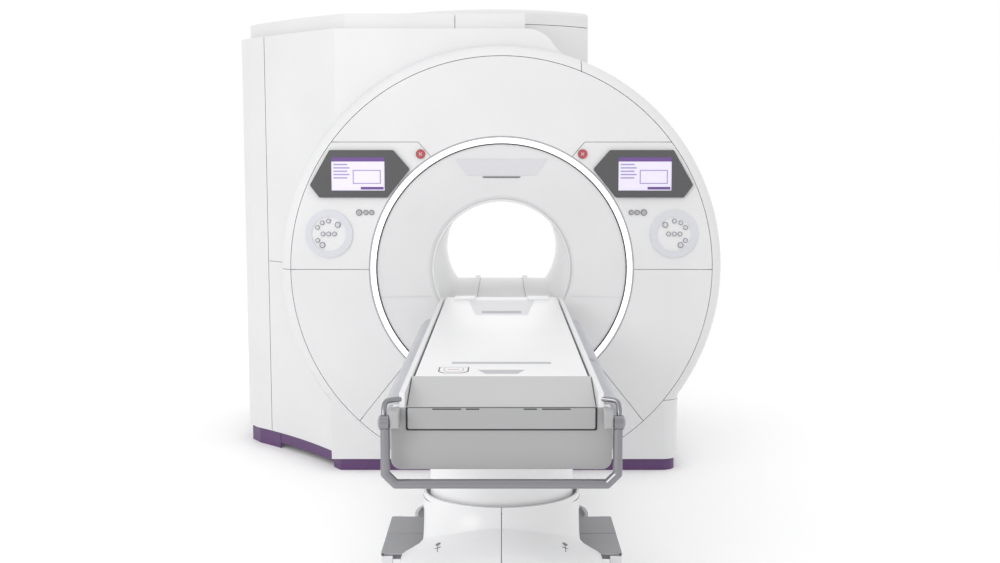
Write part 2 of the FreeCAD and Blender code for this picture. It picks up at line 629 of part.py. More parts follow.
def tube_path(points, r):
    """Round tube along straight runs with ball corners."""
    solid = None
    for p, q in zip(points, points[1:]):
        axis = q - p
        run = Part.makeCylinder(r, axis.Length, p, axis)
        solid = run if solid is None else solid.fuse(run)
    for p in points[1:-1]:
        solid = solid.fuse(Part.makeSphere(r, p))
    return solid.removeSplitter()


def handles():
    half, z0, z1 = GRIP_HALF, GRIP_BAR_Z, GRIP_PIVOT_Z
    down = [(half, z1), (half, z0 + GRIP_CORNER), (half - GRIP_CORNER, z0)]
    path = [(-x, z) for x, z in down] + down[::-1]
    bar = tube_path([V(x, GRIP_Y, z) for x, z in path], GRIP_R)
    for sign in (-1, 1):
        ends = sorted((sign * (half + GRIP_BOSS[0]), sign * (half + GRIP_BOSS[1])))
        bar = bar.fuse(cyl_x(GRIP_BOSS_R, ends[0], ends[1], GRIP_Y, z1))
    bar = bar.cut(cyl_x(GRIP_PIN_R + PIN_CLEAR, -FAR, FAR, GRIP_Y, z1))
    save("handlebar", bar)


def lift():
    wall = SLEEVE_WALL
    sleeve = oval(SLEEVE[0], SLEEVE[1], COLLAR_Z - 20, FRAME_Z[0])
    hollow = oval(SLEEVE[0] - wall, SLEEVE[1] - wall, COLLAR_Z - 21, FRAME_Z[0] + 1)
    save("column_sleeve", sleeve.cut(hollow))
    top = FRAME_Z[0] - LIFT - 20
    save("lift_column", oval(COLUMN[0], COLUMN[1], CHASSIS_Z[1], top))
    shroud = shroud_form(0).cut(shroud_form(COVER))
    shroud = shroud.cut(oval(COLLAR[0], COLLAR[1], 0, FAR)).cut(pedal_pockets())
    save("base_shroud_right", single(shroud.common(box(SEAM / 2, FAR, -FAR * 2, FAR, 0, FAR))))
    save("base_shroud_left", single(shroud.common(box(-FAR, -SEAM / 2, -FAR * 2, FAR, 0, FAR))))


def foot_outline(setback, z):
    """Plan of the broad foot with chamfered corners, drawn in by the setback."""
    c = SHROUD_CHAMFER
    half = SHROUD_HALF - setback
    y0, y1 = SHROUD_Y[0] + setback, SHROUD_Y[1] - setback
    points = [(-half, y0 + c), (-half + c, y0), (half - c, y0), (half, y0 + c)]
    points += [(half, y1 - c), (half - c, y1), (-half + c, y1), (-half, y1 - c)]
    corners = [V(x, y, z) for x, y in points]
    return Part.makePolygon(corners + corners[:1])


def shroud_form(inset):
    """Broad foot, its rounded shelf, and an oval tower that rises from it to the collar."""
    draft, set_back = SHROUD_ROUND
    base = CHASSIS_Z[1] + 2 - (5 if inset else 0)
    round_z, shelf_z = SHROUD_SHELF[0] - inset / 2, SHROUD_SHELF[1] - inset
    form = Part.makeLoft([foot_outline(inset, base), foot_outline(inset + draft, round_z)], True, True)
    shelf = [foot_outline(inset + draft, round_z - 0.01), foot_outline(inset + set_back, shelf_z)]
    low = [c + SHROUD_TOWER[0] - inset for c in COLLAR]
    high = [c + SHROUD_TOWER[1] - inset for c in COLLAR]
    tower = [oval_wire(low[0], low[1], base), oval_wire(high[0], high[1], COLLAR_Z - inset)]
    return form.fuse(Part.makeLoft(shelf, True, True)).fuse(Part.makeLoft(tower, True))


def pedal_pockets():
    """Room in the shroud for both pedals and the lugs that hold them."""
    y0 = PEDAL_Y[0] - PEDAL_LUG - PEDAL_POCKET
    y1 = PEDAL_Y[1] + PEDAL_LUG + PEDAL_POCKET
    right = box(PEDAL_X[0] - PEDAL_POCKET, FAR, y0, y1, 0, COLLAR_Z - 60)
    return right.fuse(mirror(right))


def chassis():
    x, y = CASTER
    rx, ry = REAR_WHEEL
    plate = box(-CHASSIS_HALF, CHASSIS_HALF, y - 40, ry + 60, CHASSIS_Z[0], CHASSIS_Z[1])
    for sign in (-1, 1):
        plate = plate.cut(cyl_z(STEM_R + PIN_CLEAR, 0, FAR, sign * x, y))
        plate = pedal_hanger(plate, sign)
        for off in (-WHEEL_W / 2 - 9, WHEEL_W / 2 + 3):
            x0 = sign * rx + off
            plate = plate.fuse(box(x0, x0 + FORK_T, ry - 25, ry + 25, WHEEL_R - 20, CHASSIS_Z[0] + 1))
    plate = plate.cut(cyl_x(REAR_AXLE_R + PIN_CLEAR, -FAR, FAR, ry, WHEEL_R))
    save("base_chassis", plate)
    axle = cyl_x(REAR_AXLE_R, -rx - 30, rx + 30, ry, WHEEL_R)
    for sign in (-1, 1):
        middle = sign * rx
        axle = axle.fuse(cyl_x(WHEEL_R, middle - WHEEL_W / 2, middle + WHEEL_W / 2, ry, WHEEL_R))
    save("rear_wheel_set", axle)
    casters()
    pedals()


def pedal_hanger(plate, sign):
    """Arms, lugs and pin that carry one pedal from the chassis plate."""
    outer = PEDAL_X[1] + 10
    for y0 in (PEDAL_Y[0] - PEDAL_LUG, PEDAL_Y[1] + PEDAL_LUG - LUG_PLATE):
        y1 = y0 + LUG_PLATE
        plate = plate.fuse(side_box(sign, CHASSIS_HALF - 5, outer, y0, y1, CHASSIS_Z[0], CHASSIS_Z[1] - 2))
        plate = plate.fuse(side_box(sign, outer - 40, outer, y0, y1, CHASSIS_Z[0], PEDAL_Z + PEDAL_BOSS_R))
    pin = cyl_y(PEDAL_PIN_R, PEDAL_Y[0] - 20, PEDAL_Y[1] + 20, sign * PEDAL_HINGE_X, PEDAL_Z)
    return plate.fuse(pin)


def casters():
    x, y = CASTER
    wheel_y = y - CASTER_TRAIL
    crown = CHASSIS_Z[0] - 4
    fork = cyl_z(STEM_R, crown, CHASSIS_Z[1], x, y)
    fork = fork.fuse(box(x - FORK_HALF, x + FORK_HALF, wheel_y - 20, y + 24, crown, CHASSIS_Z[0] - 0.3))
    for x0 in (x - FORK_HALF, x + FORK_HALF - FORK_T):
        fork = fork.fuse(box(x0, x0 + FORK_T, wheel_y - 18, wheel_y + 18, WHEEL_R - 14, crown))
    fork = fork.fuse(cyl_x(AXLE_R, x - FORK_HALF, x + FORK_HALF, wheel_y, WHEEL_R))
    both("caster_fork", fork)
    wheel = cyl_x(WHEEL_R, x - WHEEL_W / 2, x + WHEEL_W / 2, wheel_y, WHEEL_R)
    both("caster_wheel", wheel.cut(cyl_x(AXLE_R + PIN_CLEAR, 0, FAR, wheel_y, WHEEL_R)))


def pedals():
    y0, y1 = PEDAL_Y
    pedal = box(PEDAL_X[0], PEDAL_HINGE_X, y0, y1, PEDAL_Z - PEDAL_T / 2, PEDAL_Z + PEDAL_T / 2)
    pedal = pedal.fuse(cyl_y(PEDAL_BOSS_R, y0, y1, PEDAL_HINGE_X, PEDAL_Z))
    bore = cyl_y(PEDAL_PIN_R + PIN_CLEAR, y0 - FAR, y1 + FAR, PEDAL_HINGE_X, PEDAL_Z)
    both("pedal", pedal.cut(bore))


def main():
    os.makedirs("parts", exist_ok=True)
    body_covers()
    top_covers()
    turret()
    front_covers()
    bore_parts()
    plinths()
    controls()
    table_top()
    handles()
    lift()
    chassis()


main()
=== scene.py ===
# %% [markdown]
# # A magnetic resonance scanner, dressed around its construction
# The construction model gives every cover, wheel and button at its real size. This script
# adds the finish of each surface and the small details, and never moves what is built.
# The frame is loaded first, because every place below is read from it.

# %% Load the frame
import bpy
import bmesh
import json
import math
from mathutils import Matrix, Vector
from mathutils.bvhtree import BVHTree


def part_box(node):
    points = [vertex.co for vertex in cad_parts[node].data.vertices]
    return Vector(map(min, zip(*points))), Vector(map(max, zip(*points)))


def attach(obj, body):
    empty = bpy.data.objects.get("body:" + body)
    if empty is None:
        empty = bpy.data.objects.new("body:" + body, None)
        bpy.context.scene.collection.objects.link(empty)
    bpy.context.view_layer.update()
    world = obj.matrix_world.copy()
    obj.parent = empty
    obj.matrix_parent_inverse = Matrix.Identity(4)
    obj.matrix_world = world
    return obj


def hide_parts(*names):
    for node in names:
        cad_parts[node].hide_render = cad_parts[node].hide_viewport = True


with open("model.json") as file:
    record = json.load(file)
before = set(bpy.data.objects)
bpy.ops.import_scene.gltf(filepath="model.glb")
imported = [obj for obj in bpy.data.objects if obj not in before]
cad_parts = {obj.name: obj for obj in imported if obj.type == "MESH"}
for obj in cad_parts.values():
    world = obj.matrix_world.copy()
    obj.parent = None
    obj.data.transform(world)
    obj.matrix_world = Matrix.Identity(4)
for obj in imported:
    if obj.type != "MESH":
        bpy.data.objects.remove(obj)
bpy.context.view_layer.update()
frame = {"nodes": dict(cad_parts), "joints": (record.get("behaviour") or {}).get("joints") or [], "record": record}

NODES = frame["nodes"]
MM = 0.001

# %% [markdown]
# The camera stands in front of the table at eye height and looks slightly down the bore.
# It comes first, so that every later piece is judged from where it will be seen.

# %% Camera
CAMERA_PLACE = (0.0, -6.84, 1.61)
LOOK_DOWN_DEG = 5.927
SENSOR_MM = 36.0
LENS_MM = 42.48
SIDE_SHIFT = -0.0015
camera_data = bpy.data.cameras.new("camera")
camera_data.sensor_width = SENSOR_MM
camera_data.lens = LENS_MM
camera_data.shift_x = SIDE_SHIFT
camera = bpy.data.objects.new("camera", camera_data)
camera.location = CAMERA_PLACE
camera.rotation_euler = (math.radians(90 - LOOK_DOWN_DEG), 0, 0)
bpy.context.scene.collection.objects.link(camera)
bpy.context.scene.camera = camera
print("lens", LENS_MM, "mm")

# %% [markdown]
# Colours are easiest to pick as sRGB hex values, but shaders work in linear light. One
# function converts them. A second one adds a node with its settings and links, so that
# each material below reads as a short list of what its surface is.

# %% Colour and node helpers
def linear(code, alpha=1.0):
    """sRGB hex such as 'e4e4e4' to a linear colour."""
    values = [int(code[i:i + 2], 16) / 255 for i in (0, 2, 4)]
    low = [v / 12.92 if v <= 0.04045 else ((v + 0.055) / 1.055) ** 2.4 for v in values]
    return (*low, alpha)


def node(tree, kind, links=None, **settings):
    """Add a node, set its properties or input values, and link its inputs."""
    made = tree.nodes.new(kind)
    for key, value in settings.items():
        if key in made.bl_rna.properties:
            setattr(made, key, value)
        else:
            made.inputs[key.replace("_", " ")].default_value = value
    for name, socket in (links or {}).items():
        tree.links.new(socket, made.inputs[name])
    return made


def surface(name, code, roughness, grain_mm, bump, metallic=0.0, coat=0.0, speckle=0.04, glow=0.0):
    """A finished surface: base colour with a faint cloud, uneven gloss and a fine grain."""
    mat = bpy.data.materials.new(name)
    mat.use_nodes = True
    tree = mat.node_tree
    shader = tree.nodes["Principled BSDF"]
    place = node(tree, "ShaderNodeTexCoord").outputs["Object"]
    grain = node(tree, "ShaderNodeTexNoise", {"Vector": place}, Scale=1 / (grain_mm * MM), Detail=3.0)
    cloud = node(tree, "ShaderNodeTexNoise", {"Vector": place}, Scale=2.5, Detail=2.0)
    base = linear(code)
    dark = tuple(c * (1 - speckle) for c in base[:3]) + (1.0,)
    tone = node(tree, "ShaderNodeValToRGB", {"Fac": cloud.outputs["Fac"]})
    tone.color_ramp.elements[0].color = dark
    tone.color_ramp.elements[0].position = 0.3
    tone.color_ramp.elements[1].color = base
    tone.color_ramp.elements[1].position = 0.7
    gloss = node(tree, "ShaderNodeMapRange", {"Value": grain.outputs["Fac"]},
                 To_Min=roughness * 0.85, To_Max=roughness * 1.15)
    relief = node(tree, "ShaderNodeBump", {"Height": grain.outputs["Fac"]}, Strength=bump,
                  Distance=grain_mm * MM * 0.15)
    tree.links.new(tone.outputs["Color"], shader.inputs["Base Color"])
    tree.links.new(gloss.outputs["Result"], shader.inputs["Roughness"])
    tree.links.new(relief.outputs["Normal"], shader.inputs["Normal"])
    shader.inputs["Metallic"].default_value = metallic
    if not metallic:
        shader.inputs["IOR"].default_value = 1.5
    if coat:
        shader.inputs["Coat Weight"].default_value = coat
        shader.inputs["Coat Roughness"].default_value = 0.12
    if glow:
        shader.inputs["Emission Color"].default_value = base
        shader.inputs["Emission Strength"].default_value = glow
    return mat

# %% [markdown]
# The covers of a scanner are moulded polyurethane with a satin lacquer: nearly white, with
# a soft sheen and a grain too fine to see from afar, so it only breaks up the gloss.

# %% Finishes
FINISH = {
    "gantry_cover": surface("lacquered_polyurethane", "dcdcdd", 0.38, 1.2, 0.06, coat=0.15),
    "plinth_trim": surface("purple_abs", "5a3869", 0.42, 1.0, 0.10),
    "painted_steel": surface("powder_coated_steel", "dcdcde", 0.5, 0.8, 0.15),
    "bore_laminate": surface("glass_fibre_laminate", "dadadb", 0.34, 1.5, 0.05, coat=0.2),
    "coil_epoxy": surface("cast_epoxy", "a89f78", 0.45, 2.0, 0.15),
    "light_diffuser": surface("opal_acrylic", "ffffff", 0.3, 1.0, 0.03, speckle=0.01, glow=0.6),
    "screen_bezel": surface("smoked_acrylic", "48484a", 0.22, 1.0, 0.02, coat=0.5),
    "keypad_plastic": surface("silicone_overlay", "dededf", 0.5, 0.8, 0.10),
    "stop_red": surface("red_nylon", "b04a50", 0.4, 0.8, 0.08),
    "button_grey": surface("grey_nylon", "a9a9ad", 0.45, 0.8, 0.08),
    "cradle_top": surface("gel_coated_composite", "ebebec", 0.3, 1.2, 0.04, coat=0.2),
    "table_grey": surface("grey_abs", "a2a2a3", 0.42, 1.0, 0.12),
    # A lighter copy of grey_abs, which is painted light on the slope that faces the light above.
    "table_slope": surface("satin_grey_abs", "b7b7b8", 0.40, 1.0, 0.08),
    "table_light_grey": surface("light_grey_abs", "b2b3b8", 0.4, 1.0, 0.10),
    "table_white": surface("enamelled_steel", "e2e2e3", 0.36, 0.9, 0.08, coat=0.1),
    # The steel's base colour is darkened to stand for the dark surroundings it reflects. This is a painted
    # reflection.
    "steel": surface("brushed_stainless", "8d8d91", 0.30, 0.6, 0.12, metallic=1.0),
    "pedal_grey": surface("moulded_rubber_grey", "9b9b9e", 0.6, 1.0, 0.25),
    "wheel_rubber": surface("caster_rubber", "3a3a3c", 0.7, 1.2, 0.3),
}
# DARK is painted shade: a dark grey for gaps, slits and holes where only shade is seen. Every piece without a
# finish of its own gets it.
DARK = surface("shadow_gap_foam", "3c3c40", 0.8, 1.0, 0.1)
for part in frame["record"]["subparts"]:
    slots = NODES[part["node"]].data.materials
    slots.clear()
    slots.append(FINISH[part["material_slot"]])

# %% [markdown]
# Small parts are drawn as outlines and given thickness, then their edges are softened,
# because a real moulding never has a knife edge. Two helpers make nearly every piece: one
# closes two matching outlines into a solid, and one joins loops of points with bands.


def placed(name, data):
    """A new object that holds this data, linked into the scene."""
    made = bpy.data.objects.new(name, data)
    bpy.context.scene.collection.objects.link(made)
    return made


def settled(piece):
    """A plain mesh of the piece with its modifiers applied."""
    seen = bpy.context.evaluated_depsgraph_get()
    seen.update()
    return bpy.data.meshes.new_from_object(piece.evaluated_get(seen))


def keep(mesh, name, body, finish, edge=0.0, segments=3, stands_for=()):
    """Turn a bmesh into a named piece on a body, with softened edges."""
    bmesh.ops.remove_doubles(mesh, verts=mesh.verts, dist=1e-6)
    bmesh.ops.recalc_face_normals(mesh, faces=mesh.faces)
    data = bpy.data.meshes.new(name)
    mesh.to_mesh(data)
    mesh.free()
    piece = placed(name, data)
    # A piece without a finish gets DARK, the painted shade of a gap.
    data.materials.append(FINISH.get(finish, DARK))
    if edge:
        soften = piece.modifiers.new("soft_edges", "BEVEL")
        soften.width = edge
        soften.segments = segments
        soften.limit_method = "ANGLE"
    for face in data.polygons:
        face.use_smooth = True
    data.set_sharp_from_angle(angle=math.radians(35))
    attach(piece, body)
    if stands_for:
        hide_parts(*stands_for)
    return piece


def prism(near, far):
    """Two matching outlines of points closed into a solid."""
    mesh = bmesh.new()
    front = [mesh.verts.new(p) for p in near]
    back = [mesh.verts.new(p) for p in far]
    mesh.faces.new(front)
    mesh.faces.new(list(reversed(back)))
    for i in range(len(front)):
        j = (i + 1) % len(front)
        mesh.faces.new((front[i], back[i], back[j], front[j]))
    return mesh


def bands(mesh, loops, round_loop=True, back_to_first=False):
    """Join each loop of corners to the next one with a band of faces."""
    following = loops[1:] + loops[:1] if back_to_first else loops[1:]
    for a, b in zip(loops, following):
        for i in range(len(a) if round_loop else len(a) - 1):
            j = (i + 1) % len(a)
            mesh.faces.new((a[i], a[j], b[j], b[i]))


def extrude_outline(points, y0, y1):
    """A closed outline of (x, z) points made solid between y0 and y1."""
    return prism([(x, y0, z) for x, z in points], [(x, y1, z) for x, z in points])


def across(points, x0, x1):
    """A closed outline of (y, z) points made solid from x0 to x1."""
    return prism([(x0, y, z) for y, z in points], [(x1, y, z) for y, z in points])


def add_block(mesh, low, high):
    """Add one more box, between two corners, to a mesh that is being built."""
    size = [b - a for a, b in zip(low, high)]
    centre = [(a + b) / 2 for a, b in zip(low, high)]
    bmesh.ops.create_cube(mesh, size=1, matrix=Matrix.Translation(centre) @ Matrix.Diagonal((*size, 1)))


def block(low, high):
    mesh = bmesh.new()
    add_block(mesh, low, high)
    return mesh


def face_centre(low, high):
    """The middle of a piece as seen from the front, in x and z."""
    return (low.x + high.x) / 2, (low.z + high.z) / 2


def circle(cx, cz, r, count=48, start=0.0):
    steps = [start + 2 * math.pi * i / count for i in range(count)]
    return [(cx + r * math.cos(a), cz + r * math.sin(a)) for a in steps]


def ring(cx, cz, r0, r1, y0, y1, count=64):
    """A flat washer facing the reader."""
    mesh = bmesh.new()
    loops = []
    for r, y in ((r0, y0), (r1, y0), (r1, y1), (r0, y1)):
        loops.append([mesh.verts.new((x, y, z)) for x, z in circle(cx, cz, r, count)])
    bands(mesh, loops, back_to_first=True)
    return mesh

# %% [markdown]
# Each display shows generic fields of colour: a header bar, a footer bar, one column of
# rows and a simple diagram. They are thin raised fields with their own faint glow, as a lit panel has.

# %% Screens
SCREEN_FINISH = {
    "screen_field": surface("lit_panel_pale", "dfd9f0", 0.2, 1.0, 0.01, glow=0.12),
    "screen_header": surface("lit_panel_violet", "694a88", 0.2, 1.0, 0.01, glow=0.08),
    "screen_line": surface("lit_panel_grey", "9a93b8", 0.2, 1.0, 0.01, glow=0.08),
}
FINISH.update(SCREEN_FINISH)
FINISH["pad_ring"] = surface("pale_silicone_ring", "cfcfd6", 0.5, 0.8, 0.06)
ROWS = 5
ROW_PITCH, ROW_TALL = 0.10, 0.04
SCREEN_X = (0.590, 0.858)
SCREEN_Z = (1.4516, 1.619)
PAD_RING_R = (0.0875, 0.1205)


def screen(side, sign):
    """The lit fields of one display, as shares of the width and height of its screen."""
    low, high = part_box(side + "_display")
    face = low.y + 2 * MM
    x0 = min(sign * SCREEN_X[0], sign * SCREEN_X[1])
    width = SCREEN_X[1] - SCREEN_X[0]
    z0, z1 = SCREEN_Z

    def field(name, u0, u1, v0, v1, finish, lift):
        mesh = block((x0 + u0 * width, face - lift, z0 + v0 * (z1 - z0)),
                     (x0 + u1 * width, face + 1 * MM, z0 + v1 * (z1 - z0)))
        piece = keep(mesh, side + "_screen_" + name, "gantry", "")
        piece.data.materials[0] = FINISH[finish]

    field("panel", 0, 1, 0, 1, "screen_field", 0.2 * MM)
    field("header", 0, 1, 0.87, 1, "screen_header", 0.6 * MM)
    field("footer", 0.55, 0.98, 0.03, 0.11, "screen_header", 0.6 * MM)
    for i in range(ROWS):
        top = 0.80 - i * ROW_PITCH
        field("row_%d" % i, 0.04, 0.30 + 0.04 * (i % 2), top - ROW_TALL, top, "screen_line", 0.6 * MM)
    field("diagram", 0.40, 0.93, 0.20, 0.62, "screen_line", 0.5 * MM)
    field("diagram_inside", 0.42, 0.91, 0.23, 0.59, "screen_field", 0.8 * MM)


for side, sign in (("left", -1), ("right", 1)):
    screen(side, sign)
    low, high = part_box(side + "_keypad")
    cx, cz = face_centre(low, high)
    pad = keep(ring(cx, cz, *PAD_RING_R, low.y - 1 * MM, low.y + 2 * MM), side + "_keypad_ring",
               "gantry", "pad_ring", 0.6 * MM)
print("screens and key rings made")

# %% [markdown]
# Keys repeat one small form. A tree of Geometry Nodes puts that form on every point of a
# mesh, and each set of keys gets its own such tree. The result is turned into a plain
# mesh, because instances don't travel with an export.

# %% One small form on every point
def dots(name, points, radius, depth, finish, body, sides=24):
    """A short peg facing the reader on each point, made with Geometry Nodes."""
    tree = bpy.data.node_groups.new(name + "_tree", "GeometryNodeTree")
    face = tree.interface
    face.new_socket("Geometry", in_out="INPUT", socket_type="NodeSocketGeometry")
    radius_in = face.new_socket("Radius", in_out="INPUT", socket_type="NodeSocketFloat")
    depth_in = face.new_socket("Depth", in_out="INPUT", socket_type="NodeSocketFloat")
    face.new_socket("Geometry", in_out="OUTPUT", socket_type="NodeSocketGeometry")
    given = tree.nodes.new("NodeGroupInput")
    peg = node(tree, "GeometryNodeMeshCylinder", {"Radius": given.outputs["Radius"],
               "Depth": given.outputs["Depth"]}, Vertices=sides)
    spread = node(tree, "GeometryNodeInstanceOnPoints", {"Points": given.outputs["Geometry"],
                  "Instance": peg.outputs["Mesh"]}, Rotation=(math.pi / 2, 0, 0))
    real = node(tree, "GeometryNodeRealizeInstances", {"Geometry": spread.outputs["Instances"]})
    paint = node(tree, "GeometryNodeSetMaterial", {"Geometry": real.outputs["Geometry"]},
                 Material=FINISH[finish])
    node(tree, "NodeGroupOutput", {"Geometry": paint.outputs["Geometry"]})
    seed = bpy.data.meshes.new(name + "_points")
    seed.from_pydata(points, [], [])
    maker = placed(name + "_maker", seed)
    step = maker.modifiers.new("repeat", "NODES")
    step.node_group = tree
    step[radius_in.identifier] = radius
    step[depth_in.identifier] = depth
    plain = settled(maker)
    bpy.data.objects.remove(maker)
    mesh = bmesh.new()
    mesh.from_mesh(plain)
    return keep(mesh, name, body, finish, 0.6 * MM, 2)


KEY_RING_R = 0.0655
SMALL_KEYS = (150, 120, 90, 210)      # degrees round the pad
LARGE_KEYS = (45, 240)
SMALL_KEY_R, LARGE_KEY_R = 0.0118, 0.0148
KEY_FACE_SHARE = 0.74
MIDDLE_PITCH = 0.029
FINISH["key_mark"] = surface("dark_key_legend", "77777c", 0.5, 0.8, 0.05)
FINISH["key_face"] = surface("pale_key_face", "c9c9cf", 0.45, 0.8, 0.05)
for side, sign in (("left", -1), ("right", 1)):
    low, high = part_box(side + "_keypad")
    cx, cz = face_centre(low, high)
    key_y = low.y - 1 * MM

    def spots(angles):
        """Key places round the pad; the two pads mirror each other."""
        return [(cx - sign * KEY_RING_R * math.cos(math.radians(a)), key_y,
                 cz + KEY_RING_R * math.sin(math.radians(a))) for a in angles]

    middle = [(cx + dx, key_y, cz) for dx in (-MIDDLE_PITCH, 0, MIDDLE_PITCH)]
    for kind, places, r in (("small", spots(SMALL_KEYS) + middle, SMALL_KEY_R),
                            ("large", spots(LARGE_KEYS), LARGE_KEY_R)):
        rim = dots(side + "_keys_" + kind + "_rim", places, r, 3 * MM, "key_mark", "gantry")
        inner = [(x, y - 0.8 * MM, z) for x, y, z in places]
        face = dots(side + "_keys_" + kind, inner, r * KEY_FACE_SHARE, 3 * MM, "key_face", "gantry")
print("keys made")

# %% [markdown]
# Stop buttons have a pale cross-bar on their cap, and the row buttons a dark rim. Both
# travel, so their marks ride on the same body as the button.

# %% Button marks
for side in ("left", "right"):
    for name in ("_stop_button", "_row_button_1", "_row_button_2", "_row_button_3"):
        low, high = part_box(side + name)
        r = (high.x - low.x) / 2 - 2 * MM
        cx, cz = face_centre(low, high)
        body = side + name + "_body"
        rim = ring(cx, cz, r * 0.78, r * 0.98, low.y - 0.8 * MM, low.y + 1 * MM, 40)
        made = keep(rim, side + name + "_rim", body, "key_mark" if "row" in name else "stop_red", 0.3 * MM)
        if "stop" in name:
            for turn in (0, math.pi / 2):
                arm = block((-r * 0.45, -0.5 * MM, -1.6 * MM), (r * 0.45, 0.5 * MM, 1.6 * MM))
                spin = Matrix.Translation((cx, low.y, cz)) @ Matrix.Rotation(turn + math.pi / 4, 4, "Y")
                arm.transform(spin)
                mark = keep(arm, side + name + "_mark_%d" % round(turn), body, "key_face", 0.2 * MM)
print("button marks made")

# %% [markdown]
# The front opening has a dark line of painted shade in the gap inside the light ring, and a
# fine grey seam line outside it. The flare carries a shallow panel at the top with the slot of the
# positioning light below it, and a soft crease at each side at table height.

# %% Front opening
ISO_Z = face_centre(*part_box("light_ring"))[1]
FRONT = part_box("front_top_cover")[0].y
RING_GAP_SHADE_R = (0.6335, 0.6405)
SEAM_R = (0.6675, 0.6757)
LIP_R = (0.345, 0.356)
LIP_Y = (-0.800, -0.786)
FLARE_R = (0.375, 0.638)          # where the flare starts to open, and its outer edge
FLARE_Y = (-0.798, -0.845)
# A dark ring of painted shade stands in the gap inside the light ring.
ring_shade = keep(ring(0, ISO_Z, *RING_GAP_SHADE_R, FRONT + 0.5 * MM, FRONT + 6 * MM, 128), "ring_gasket",
              "gantry", "")
outer_line = ring(0, ISO_Z, *SEAM_R, FRONT + 2.5 * MM, FRONT + 9 * MM, 128)
keep(outer_line, "ring_seam", "gantry", "button_grey")
lip = ring(0, ISO_Z, *LIP_R, *LIP_Y, 96)
keep(lip, "bore_lip", "gantry", "bore_laminate", 3 * MM)


def flare_y(x, z, lift=0.0):
    """Where the flare's surface lies in y at a point of the front view."""
    r = math.hypot(x, z - ISO_Z)
    share = min(max((r - FLARE_R[0]) / (FLARE_R[1] - FLARE_R[0]), 0), 1)
    return FLARE_Y[0] + (FLARE_Y[1] - FLARE_Y[0]) * share - lift


def patch(name, outline, lift, finish, steps=24):
    """A thin raised field that follows the flare, from a four-cornered outline."""
    mesh = bmesh.new()
    a, b, c, d = [Vector(p) for p in outline]
    grid = []
    for i in range(steps + 1):
        u = i / steps
        left, right = a.lerp(d, u), b.lerp(c, u)
        line = [left.lerp(right, j / steps) for j in range(steps + 1)]
        grid.append([mesh.verts.new((p.x, flare_y(p.x, p.y, lift), p.y)) for p in line])
    bands(mesh, grid, round_loop=False)
    bmesh.ops.solidify(mesh, geom=mesh.faces[:], thickness=-2 * MM)
    return keep(mesh, name, "gantry", finish, 0.8 * MM, 2)


# This darker grey is painted shade. It marks the shallow recess of the flare panel, the soft creases and the
# cradle's head recess.
FINISH["panel_shade"] = surface("satin_laminate_panel", "d2d2d5", 0.3, 1.5, 0.05)
FLARE_PANEL = ((-0.235, 1.610), (0.235, 1.610), (0.175, 1.527), (-0.175, 1.527))
LASER_SLOT = ((-0.098, 1.522), (0.098, 1.522), (0.092, 1.514), (-0.092, 1.514))
CREASE_X = (0.36, 0.615)
CREASE_Z = (0.909, 0.904)
# The panel and the creases are raised fields of painted shade.
patch("flare_panel", FLARE_PANEL, 1.5 * MM, "panel_shade")
patch("laser_slot", LASER_SLOT, 2.2 * MM, "key_mark")
for side, sign in (("left", -1), ("right", 1)):
    crease = [(sign * x, z) for x, z in ((CREASE_X[0], CREASE_Z[0]), (CREASE_X[1], CREASE_Z[0]),
                                         (CREASE_X[1], CREASE_Z[1]), (CREASE_X[0], CREASE_Z[1]))]
    patch(side + "_flare_crease", crease, 1.2 * MM, "panel_shade")
print("front opening finished")

# %% [markdown]
# Some seams run on past the disc across the shoulder. A ray sent along the bore at each
# point finds the cover, and a narrow dark ribbon is laid on it there, so the line follows
# a curved cover without any measuring.

# %% Seams on the covers
def seam_line(name, cover, path, width=3.5 * MM, lift=0.5 * MM, steps=40):
    """A dark ribbon on a cover along straight runs between (x, z) points."""
    data = NODES[cover].data
    tree = BVHTree.FromPolygons([v.co for v in data.vertices], [p.vertices for p in data.polygons])
    mesh = bmesh.new()
    rows = []
    for (x0, z0), (x1, z1) in zip(path, path[1:]):
        length = math.hypot(x1 - x0, z1 - z0)
        side_x, side_z = -(z1 - z0) / length * width / 2, (x1 - x0) / length * width / 2
        for i in range(steps + 1):
            x, z = x0 + (x1 - x0) * i / steps, z0 + (z1 - z0) * i / steps
            row = []
            for sign in (-1, 1):
                hit = tree.ray_cast(Vector((x + sign * side_x, -2, z + sign * side_z)), Vector((0, 1, 0)))[0]
                if hit:
                    row += [hit + Vector((0, -lift, 0)), hit + Vector((0, 1 * MM, 0))]
            if len(row) == 4:
                rows.append([mesh.verts.new(p) for p in (row[0], row[2], row[3], row[1])])
    bands(mesh, rows)
    mesh.faces.new(rows[0])
    mesh.faces.new(list(reversed(rows[-1])))
    keep(mesh, name, "gantry", "groove_line")
    return len(rows)


FINISH["groove_line"] = surface("seam_shadow_grey", "8c8c90", 0.7, 1.0, 0.02)
SHOULDER_SEAM = ((-1.072, 1.050), (-1.285, 1.050))
print("shoulder seam rows", seam_line("shoulder_seam", "shoulder_cover", SHOULDER_SEAM))

# %% [markdown]
# The cradle is a gel-coated composite board. It is drawn again with a soft edge, then
# dressed with the long slot, the shallow grip at the foot end, a latch and the head rest
# recess. They are thin fields in a darker tone, painted shade where the pressing is hollow.

